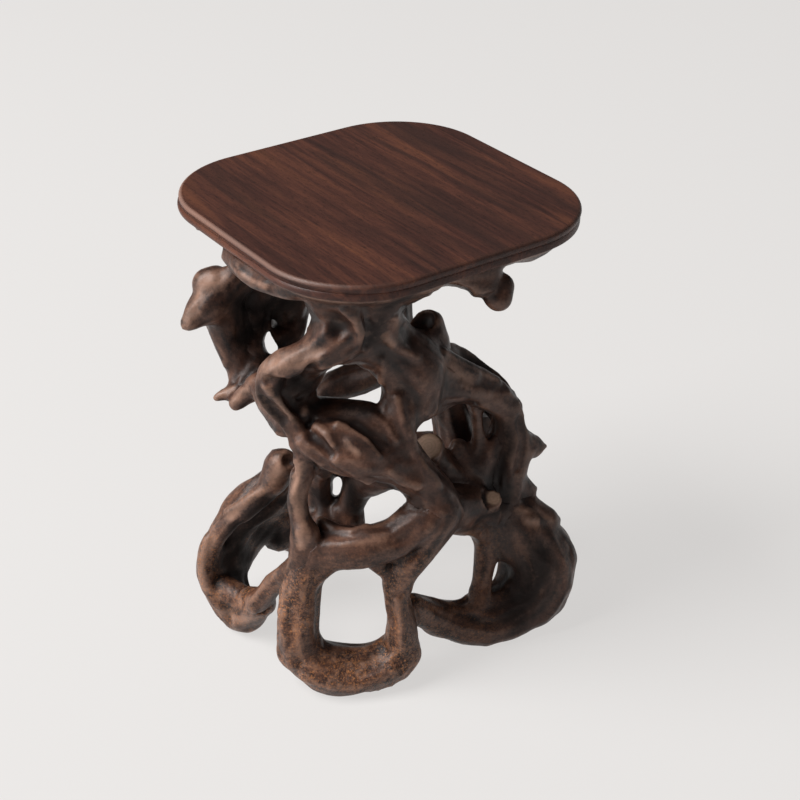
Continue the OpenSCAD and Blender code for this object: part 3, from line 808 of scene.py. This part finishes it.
def make_board():
    """The board: a full bead round its top, a groove and lip that fade away from the left corner."""
    low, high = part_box("top_board")
    centre = (low + high) / 2
    half_width = (high.x - low.x) / 2 / MM
    spread = math.cos(BOARD_TURN) + math.sin(BOARD_TURN)
    side = 2 * ((half_width - BOARD_CORNER) / spread + BOARD_CORNER)
    shares = [groove_share(turned(x, y, 0)[0]) for x, y in rounded_square(side, BOARD_CORNER)]
    bead, below = edge_rows(high.z / MM, low.z / MM)
    rings = [edge_ring(side, row, [1] * len(shares), shares) for row in bead]
    rings += [edge_ring(side, row, shares, shares) for row in below]
    points = [(centre.x + x * MM, centre.y + y * MM, z * MM) for ring in rings for x, y, z in ring]
    mesh = bpy.data.meshes.new("polished_board")
    mesh.from_pydata(points, [], ring_faces(len(shares), len(rings)))
    mesh.shade_smooth()
    for flat_face in (0, len(mesh.polygons) - 1):
        mesh.polygons[flat_face].use_smooth = False
    # Painted highlight on the bead: strongest halfway round it and at the left corner, none below it
    bead_highlight = [math.sin(math.pi * min(level / (len(bead) - 1), 1)) for level in range(len(rings))]
    layer = mesh.attributes.new("edge", "FLOAT", "POINT")
    layer.data.foreach_set("value", np.outer(bead_highlight, shares).astype(np.float32).ravel())
    return add_object("polished_board", mesh)


# Materials

class Shader:
    """A material's node tree, with short calls for the nodes that the woods share."""

    def __init__(self, name):
        self.material = bpy.data.materials.new(name)
        self.material.use_nodes = True
        self.tree = self.material.node_tree
        self.surface = self.tree.nodes["Principled BSDF"]

    def node(self, kind, **settings):
        made = self.tree.nodes.new(kind)
        for key, value in settings.items():
            setattr(made, key, value)
        return made

    def link(self, source, target):
        self.tree.links.new(source, target)

    def place(self, turn=(0, 0, 0), scale=(1, 1, 1)):
        """Object coordinates in millimetres, turned and stretched."""
        coords = self.node("ShaderNodeTexCoord")
        mapping = self.node("ShaderNodeMapping", vector_type="TEXTURE")
        mapping.inputs["Rotation"].default_value = turn
        mapping.inputs["Scale"].default_value = [MM / s for s in scale]
        self.link(coords.outputs["Object"], mapping.inputs["Vector"])
        return mapping.outputs["Vector"]

    def noise(self, vector, scale, detail, rough, distortion=0.0):
        made = self.node("ShaderNodeTexNoise")
        self.link(vector, made.inputs["Vector"])
        made.inputs["Scale"].default_value = scale
        made.inputs["Detail"].default_value = detail
        made.inputs["Roughness"].default_value = rough
        made.inputs["Distortion"].default_value = distortion
        return made.outputs["Fac"]

    def ramp(self, factor, stops):
        made = self.node("ShaderNodeValToRGB")
        self.link(factor, made.inputs["Fac"])
        bar = made.color_ramp
        while len(bar.elements) < len(stops):
            bar.elements.new(0.5)
        for element, (position, colour) in zip(bar.elements, stops):
            element.position = position
            element.color = (*colour, 1)
        return made.outputs["Color"]

    def mix(self, factor, first, second):
        """The first colour, and the second by the factor's share."""
        made = self.node("ShaderNodeMix", data_type="RGBA")
        self.link(factor, made.inputs["Factor"])
        self.link(first, made.inputs["A"])
        self.feed(second, made.inputs["B"])
        return made.outputs["Result"]

    def feed(self, value, socket):
        """A colour or a socket into a colour socket."""
        if isinstance(value, tuple):
            socket.default_value = (*value, 1)
        else:
            self.link(value, socket)

    def span(self, value, source, target=(0.0, 1.0)):
        """The value, mapped from its source range to the target range, cut off at the ends."""
        made = self.node("ShaderNodeMapRange")
        self.link(value, made.inputs["Value"])
        for key, number in zip(("From Min", "From Max", "To Min", "To Max"), (*source, *target)):
            made.inputs[key].default_value = number
        return made.outputs["Result"]

    def attribute(self, name):
        return self.node("ShaderNodeAttribute", attribute_name=name).outputs["Fac"]

    def along(self, axis):
        """Place along the X, Y or Z axis in millimetres."""
        coords = self.node("ShaderNodeTexCoord")
        parts = self.node("ShaderNodeSeparateXYZ")
        self.link(coords.outputs["Object"], parts.inputs["Vector"])
        made = self.node("ShaderNodeMath", operation="DIVIDE")
        self.link(parts.outputs[axis], made.inputs[0])
        made.inputs[1].default_value = MM
        return made.outputs["Value"]

    def times(self, first, second):
        """first * second"""
        made = self.node("ShaderNodeMath", operation="MULTIPLY")
        self.link(first, made.inputs[0])
        self.link(second, made.inputs[1])
        return made.outputs["Value"]

    def add(self, first, second, weight):
        """first + weight * second"""
        made = self.node("ShaderNodeMath", operation="MULTIPLY_ADD")
        self.link(second, made.inputs[0])
        made.inputs[1].default_value = weight
        self.link(first, made.inputs[2])
        return made.outputs["Value"]

    def bump(self, heights, depth):
        """Fine relief of the surface, depth in millimetres."""
        made = self.node("ShaderNodeBump")
        made.inputs["Strength"].default_value = 1.0
        made.inputs["Distance"].default_value = depth * MM
        self.link(heights, made.inputs["Height"])
        self.link(made.outputs["Normal"], self.surface.inputs["Normal"])


# Colours, linear
DARK = (0.011, 0.006, 0.005)
BROWN = (0.047, 0.0215, 0.0145)
RED_BROWN = (0.098, 0.044, 0.028)
ORANGE = (0.19, 0.080, 0.036)
# Pale worn wood, also the colour of the painted highlights on ridges and rubbed places
ASH = (0.30, 0.172, 0.120)
# Sawn ends: pale sawn wood, made paler still as painted light on ends that lie in shade
PALE_CUT_WITH_PAINTED_LIGHT = (0.88, 0.57, 0.39)
CUT_RING_WITH_PAINTED_LIGHT = (0.80, 0.51, 0.35)
SPARK = (0.42, 0.165, 0.055)
BOARD_BLACK = (0.030, 0.0125, 0.0095)
BOARD_DARK = (0.056, 0.0210, 0.0150)
BOARD_RED = (0.088, 0.0320, 0.0200)
BOARD_ORANGE = (0.138, 0.0500, 0.0245)
BOARD_DIM = (0.027, 0.0135, 0.0110)
BOARD_PORE = (0.013, 0.0065, 0.0055)
# Painted highlight along the bead round the board's edge
BOARD_BEAD_HIGHLIGHT = (0.270, 0.1650, 0.1300)
PEG_BROWN = (0.26, 0.16, 0.085)
PEG_PALE = (0.45, 0.31, 0.18)

# Colours along the streaks of the woods
ROOT_STOPS = [(0.28, DARK), (0.44, BROWN), (0.66, RED_BROWN)]
FOOT_STOPS = [(0.40, DARK), (0.48, BROWN), (0.55, RED_BROWN), (0.63, ORANGE)]
# Sawn ends, with painted light
CUT_STOPS_WITH_PAINTED_LIGHT = [(0.2, CUT_RING_WITH_PAINTED_LIGHT), (0.6, PALE_CUT_WITH_PAINTED_LIGHT)]
BOARD_STOPS = [(0.30, BOARD_BLACK), (0.46, BOARD_DARK), (0.60, BOARD_RED), (0.76, BOARD_ORANGE)]
PEG_STOPS = [(0.3, PEG_BROWN), (0.7, PEG_PALE)]

# Noises: scale per mm, detail, roughness and, where there is any, distortion
BLOTCHES = (0.09, 3.0, 0.55)
SPECKS = (1.1, 5.0, 0.7)
MOTTLE = (0.45, 3.0, 0.55)
SPARKS = (2.0, 3.0, 0.65)
PORES = (2.6, 3.0, 0.7)
BOARD_LINES = (0.42, 6.0, 0.66, 0.5)
BOARD_BANDS = (0.11, 3.0, 0.5, 0.8)
BOARD_FINE = (1.9, 3.0, 0.65)
BOARD_FLECKS = (1.6, 4.0, 0.7)
PEG_GRAIN = (1.2, 4.0, 0.55)

# Stretch of the noises along the grain
LINES_STRETCH = (1.0, 0.06, 1.0)
BANDS_STRETCH = (1.0, 0.12, 1.0)
FINE_STRETCH = (1.0, 0.16, 1.0)
FLECKS_STRETCH = (1.0, 0.5, 1.0)
PEG_STRETCH = (1.0, 1.0, 0.15)

# Root wood: ranges of a mark, a noise or a place in mm, each with the share that it turns into
GRAIN_RANGE = (-2.5, 2.5)
FULL_RANGE = (0.0, 1.0)
BOTH_WAYS = (-1.0, 1.0)
STREAK_SPECKS, STREAK_GRAIN = (0.0, 0.5), 0.5
FOOT_SPECKS, FOOT_GRAIN = (0.0, 0.75), 0.25
FOOT_HEIGHTS = (52.0, 26.0)
FOOT_RIGHT, FOOT_RIGHT_SHARE = (14.0, 32.0), (1.0, 0.2)
FOOT_BLOTCHES, FOOT_BLOTCH_SHARE = (0.35, 0.6), (0.3, 1.0)
STREAK_RANGE, STREAK_IN_CONVEXITY = (0.35, 0.65), 0.07
# Ridges paler with wear and painted highlight; hollows darker with painted shade
RIDGE_RANGE, RIDGE_SHARE = (0.20, 0.58), (0.0, 0.6)
HOLLOW_RANGE, HOLLOW_SHARE = (0.0, -0.25), (0.0, 0.6)
MARK_RANGE, BLOTCH_IN_PAINTED_SHADE, STREAK_IN_RUB_AND_HIGHLIGHT = (0.3, 0.7), 0.2, 0.3
# Painted shade spots
PAINTED_SHADE_RANGE, PAINTED_SHADE_SHARE = (0.15, 0.9), (0.0, 0.9)
# Painted shade where the wood is enclosed
ENCLOSURE_SHADE_RANGE, ENCLOSURE_SHADE_SHARE = (0.40, 0.62), (0.0, 0.9)
# Rubbed places: paler worn wood with painted highlights
RUB_AND_HIGHLIGHT_RANGE, RUB_AND_HIGHLIGHT_SHARE = (0.15, 1.1), (0.0, 0.8)
# Foot speckle only outside the painted shade
OUTSIDE_PAINTED_SHADE_RANGE, OUTSIDE_PAINTED_SHADE_SHARE = (0.1, 0.5), (1.0, 0.0)
MOTTLE_RANGE, MOTTLE_SHARE = (0.50, 0.68), (0.0, 0.5)
SPARK_RANGE, SPARK_SHARE = (0.53, 0.68), (0.0, 0.85)
RING_RANGE, RING_WAVES, RING_WANDER = (0.0, 8.0), (0.0, 60.0), 6.0
# Rougher where the painted shade lies
ROOT_ROUGHNESS, PAINTED_SHADE_ROUGHNESS, ROOT_SPECULAR = (0.48, 0.34), 0.35, 0.3
PORE_HEIGHT, PIT_HEIGHT, ROOT_BUMP = 0.35, 0.8, 0.2
ROOT_WARMTH = {"dark_wood": 0.5, "foot_wood": 1.0, "inner_wood": 0.2, "cut_wood": 0.2}

# Board and pegs: ranges and shares of the same kind
ORANGE_RANGE, ORANGE_SHARE = (0.56, 0.70), (0.0, 0.5)
DIM_RANGE, DIM_SHARE = (0.50, 0.36), (0.0, 0.65)
FINE_RANGE, FINE_SHARE = (0.45, 0.30), (0.0, 0.6)
FLECK_RANGE, FLECK_SHARE = (0.45, 0.32), (0.0, 0.45)
# Share of the painted highlight along the bead
BEAD_HIGHLIGHT_SHARE = (0.0, 0.6)
GLOSS_RANGE, BOARD_ROUGHNESS, BOARD_SPECULAR = (0.3, 0.7), (0.46, 0.38), 0.22
FINE_HEIGHT, BOARD_BUMP = 0.6, 0.12
PEG_ROUGHNESS, PEG_BUMP = (0.6, 0.5), 0.1


def foot_mask(s, warmth, blotches):
    """Where the warmer wood of the feet shows: low down, less at the far right, in blotches."""
    low = s.span(s.along("Z"), FOOT_HEIGHTS, (0.0, warmth))
    foot = s.times(low, s.span(s.along("X"), FOOT_RIGHT, FOOT_RIGHT_SHARE))
    return s.times(foot, s.span(blotches, FOOT_BLOTCHES, FOOT_BLOTCH_SHARE))


def worn_colour_and_painted_light(s, colour, streaks, blotches):
    """The colour with paler ridges (wear and painted highlight), painted shade in hollows, painted shade
    spots and painted shade where the wood is enclosed, then paler rubbed places with painted highlights.
    """
    # Convexity: ridges paler with wear and painted highlight, hollows darker with painted shade
    convexity = s.attribute("convexity")
    ridges = s.add(convexity, s.span(streaks, STREAK_RANGE, BOTH_WAYS), STREAK_IN_CONVEXITY)
    colour = s.mix(s.span(ridges, RIDGE_RANGE, RIDGE_SHARE), colour, ASH)
    colour = s.mix(s.span(convexity, HOLLOW_RANGE, HOLLOW_SHARE), colour, DARK)
    # Painted shade spots in hollows, under overhangs and on shaded sides
    painted_shade = s.add(s.attribute("painted_shade"), s.span(blotches, MARK_RANGE, BOTH_WAYS), BLOTCH_IN_PAINTED_SHADE)
    colour = s.mix(s.span(painted_shade, PAINTED_SHADE_RANGE, PAINTED_SHADE_SHARE), colour, DARK)
    # Painted shade where the wood is enclosed
    colour = s.mix(s.span(s.attribute("enclosure_shade"), ENCLOSURE_SHADE_RANGE, ENCLOSURE_SHADE_SHARE), colour, DARK)
    # Rubbed places: paler worn wood with painted highlights
    rub_and_highlight = s.add(s.attribute("rub_and_highlight"), s.span(streaks, MARK_RANGE, BOTH_WAYS), STREAK_IN_RUB_AND_HIGHLIGHT)
    return s.mix(s.span(rub_and_highlight, RUB_AND_HIGHLIGHT_RANGE, RUB_AND_HIGHLIGHT_SHARE), colour, ASH)


def sawn_colour_with_painted_light(s, blotches):
    """Pale sawn wood with rings round the pith, made paler than the wood itself as painted light on sawn
    ends that lie in shade.
    """
    rings = s.node("ShaderNodeMath", operation="SINE")
    waves = s.span(s.attribute("ring"), RING_RANGE, RING_WAVES)
    s.link(s.add(waves, blotches, RING_WANDER), rings.inputs[0])
    return s.ramp(s.span(rings.outputs["Value"], BOTH_WAYS), CUT_STOPS_WITH_PAINTED_LIGHT)


def root_wood(name, warmth):
    """Dark waxed root wood: grain along the limbs, worn colours with painted shade and painted
    highlights, warmer feet, pale sawn ends brightened with painted light.
    """
    s = Shader(name)
    grain = s.span(s.attribute("grain"), GRAIN_RANGE)
    blotches = s.noise(s.place(), *BLOTCHES)
    specks = s.noise(s.place(), *SPECKS)
    sparks = s.noise(s.place(), *SPARKS)
    streaks = s.add(s.span(specks, FULL_RANGE, STREAK_SPECKS), grain, STREAK_GRAIN)
    warm = s.ramp(s.add(s.span(specks, FULL_RANGE, FOOT_SPECKS), grain, FOOT_GRAIN), FOOT_STOPS)
    foot = foot_mask(s, warmth, blotches)
    colour = s.mix(foot, s.ramp(streaks, ROOT_STOPS), warm)
    colour = worn_colour_and_painted_light(s, colour, streaks, blotches)
    # Feet outside the painted shade
    skin = s.times(foot, s.span(s.attribute("painted_shade"), OUTSIDE_PAINTED_SHADE_RANGE, OUTSIDE_PAINTED_SHADE_SHARE))
    mottle = s.span(s.noise(s.place(), *MOTTLE), MOTTLE_RANGE, MOTTLE_SHARE)
    colour = s.mix(s.times(skin, mottle), colour, ASH)
    colour = s.mix(s.times(skin, s.span(sparks, SPARK_RANGE, SPARK_SHARE)), colour, SPARK)
    # Sawn ends in pale wood with painted light
    colour = s.mix(s.attribute("cut"), colour, sawn_colour_with_painted_light(s, blotches))
    s.link(colour, s.surface.inputs["Base Color"])
    polish = s.span(streaks, STREAK_RANGE, ROOT_ROUGHNESS)
    # Rougher where the painted shade lies, which dulls the sheen there
    s.link(s.add(polish, s.attribute("painted_shade"), PAINTED_SHADE_ROUGHNESS), s.surface.inputs["Roughness"])
    s.surface.inputs["Specular IOR Level"].default_value = ROOT_SPECULAR
    porous = s.add(grain, s.noise(s.place(), *PORES), PORE_HEIGHT)
    s.bump(s.add(porous, s.times(skin, sparks), PIT_HEIGHT), ROOT_BUMP)
    return s.material


def board_wood():
    """Polished board: fine straight streaks from near black to orange brown, parallel to one side."""
    s = Shader("board_wood")
    turn = (0, 0, BOARD_TURN)
    lines = s.noise(s.place(turn, LINES_STRETCH), *BOARD_LINES)
    bands = s.noise(s.place(turn, BANDS_STRETCH), *BOARD_BANDS)
    fine = s.noise(s.place(turn, FINE_STRETCH), *BOARD_FINE)
    flecks = s.noise(s.place(turn, FLECKS_STRETCH), *BOARD_FLECKS)
    colour = s.ramp(lines, BOARD_STOPS)
    colour = s.mix(s.span(bands, ORANGE_RANGE, ORANGE_SHARE), colour, BOARD_ORANGE)
    colour = s.mix(s.span(bands, DIM_RANGE, DIM_SHARE), colour, BOARD_DIM)
    colour = s.mix(s.span(fine, FINE_RANGE, FINE_SHARE), colour, BOARD_PORE)
    colour = s.mix(s.span(flecks, FLECK_RANGE, FLECK_SHARE), colour, BOARD_PORE)
    # Painted highlight along the bead
    colour = s.mix(s.span(s.attribute("edge"), FULL_RANGE, BEAD_HIGHLIGHT_SHARE), colour, BOARD_BEAD_HIGHLIGHT)
    s.link(colour, s.surface.inputs["Base Color"])
    s.link(s.span(fine, GLOSS_RANGE, BOARD_ROUGHNESS), s.surface.inputs["Roughness"])
    s.surface.inputs["Specular IOR Level"].default_value = BOARD_SPECULAR
    s.bump(s.add(lines, fine, FINE_HEIGHT), BOARD_BUMP)
    return s.material


def peg_wood():
    """Plain paler wood with upright grain."""
    s = Shader("peg_wood")
    grain = s.noise(s.place(scale=PEG_STRETCH), *PEG_GRAIN)
    s.link(s.ramp(grain, PEG_STOPS), s.surface.inputs["Base Color"])
    s.link(s.span(grain, GLOSS_RANGE, PEG_ROUGHNESS), s.surface.inputs["Roughness"])
    s.bump(grain, PEG_BUMP)
    return s.material


# Stage

# Floor side, lamp places and sizes in m
FLOOR_SIDE = 6.0
FLOOR_COLOUR = (0.785, 0.765, 0.75)
FLOOR_ROUGHNESS = 0.9
FLOOR_SPECULAR = 0.1
FLOOR_LIFT = 0.8
LAMPS = [
    # name, place, size, watts
    ("key", (-0.95, -0.25, 1.25), 0.8, 32.0),
    ("side", (-1.20, -0.45, 0.45), 0.7, 9.0),
]
WORLD_COLOUR = (0.95, 0.97, 1.0)
WORLD_STRENGTH = 0.12


def lift_floor(s):
    """Evens out the floor that the camera sees, so that only a soft shadow is left on it."""
    paths = s.node("ShaderNodeLightPath")
    seen = paths.outputs["Is Camera Ray"]
    for kind in ("Is Glossy Ray", "Is Transmission Ray"):
        either = s.node("ShaderNodeMath", operation="MAXIMUM")
        s.link(seen, either.inputs[0])
        s.link(paths.outputs[kind], either.inputs[1])
        seen = either.outputs["Value"]
    share = s.node("ShaderNodeMath", operation="MULTIPLY")
    s.link(seen, share.inputs[0])
    share.inputs[1].default_value = FLOOR_LIFT
    glow = s.node("ShaderNodeEmission")
    glow.inputs["Color"].default_value = (*FLOOR_COLOUR, 1)
    blend = s.node("ShaderNodeMixShader")
    s.link(share.outputs["Value"], blend.inputs["Fac"])
    s.link(s.surface.outputs["BSDF"], blend.inputs[1])
    s.link(glow.outputs["Emission"], blend.inputs[2])
    s.link(blend.outputs["Shader"], s.tree.nodes["Material Output"].inputs["Surface"])


def make_floor():
    """Pale paper floor, far wider than the picture."""
    half = FLOOR_SIDE / 2
    mesh = bpy.data.meshes.new("floor")
    corners = [(-half, -half, 0), (half, -half, 0), (half, half, 0), (-half, half, 0)]
    mesh.from_pydata(corners, [], [(0, 1, 2, 3)])
    floor = add_object("floor", mesh)
    s = Shader("floor_paper")
    s.surface.inputs["Base Color"].default_value = (*FLOOR_COLOUR, 1)
    s.surface.inputs["Roughness"].default_value = FLOOR_ROUGHNESS
    s.surface.inputs["Specular IOR Level"].default_value = FLOOR_SPECULAR
    lift_floor(s)
    mesh.materials.append(s.material)


def make_lamps():
    for name, place, size, watts in LAMPS:
        data = bpy.data.lights.new(name, "AREA")
        data.size = size
        data.energy = watts
        lamp = add_object(name, data)
        lamp.location = place
        lamp.rotation_euler = (CAMERA_TARGET - lamp.location).to_track_quat("-Z", "Y").to_euler()


def make_world():
    world = bpy.data.worlds.new("studio")
    world.use_nodes = True
    background = world.node_tree.nodes["Background"]
    background.inputs["Color"].default_value = (*WORLD_COLOUR, 1)
    background.inputs["Strength"].default_value = WORLD_STRENGTH
    bpy.context.scene.world = world


def make_camera():
    data = bpy.data.cameras.new("camera")
    data.sensor_width = SENSOR
    data.lens = FOCAL_PIXELS / IMAGE_SIDE * SENSOR
    camera = add_object("camera", data)
    back = Vector((0, -math.cos(CAMERA_PITCH), math.sin(CAMERA_PITCH)))
    camera.location = CAMERA_TARGET + back * CAMERA_DISTANCE
    camera.rotation_euler = (-back).to_track_quat("-Z", "Y").to_euler()
    bpy.context.scene.camera = camera


# Nodes that keep their CAD mesh
PEG_NODES = ("board_pegs", "root_pegs")


def main():
    bpy.ops.wm.read_factory_settings(use_empty=True)
    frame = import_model()
    slots = {part["node"]: part["material_slot"] for part in frame["record"]["subparts"]}
    woods = {name: root_wood(name, warmth) for name, warmth in ROOT_WARMTH.items()}
    woods["board_wood"] = board_wood()
    woods["peg_wood"] = peg_wood()
    roots = {name: node for name, node in frame["nodes"].items() if slots[name] in ROOT_WARMTH}
    made = sculpt(roots)
    made["top_board"] = make_board()
    for name, piece in made.items():
        piece.data.materials.append(woods[slots[name]])
        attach(piece, "root")
        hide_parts(name)
    for name in PEG_NODES:
        node = frame["nodes"][name]
        node.data.materials.clear()
        node.data.materials.append(woods[slots[name]])
    make_floor()
    make_lamps()
    make_world()
    make_camera()
    bpy.context.scene.view_settings.view_transform = "Standard"


main()
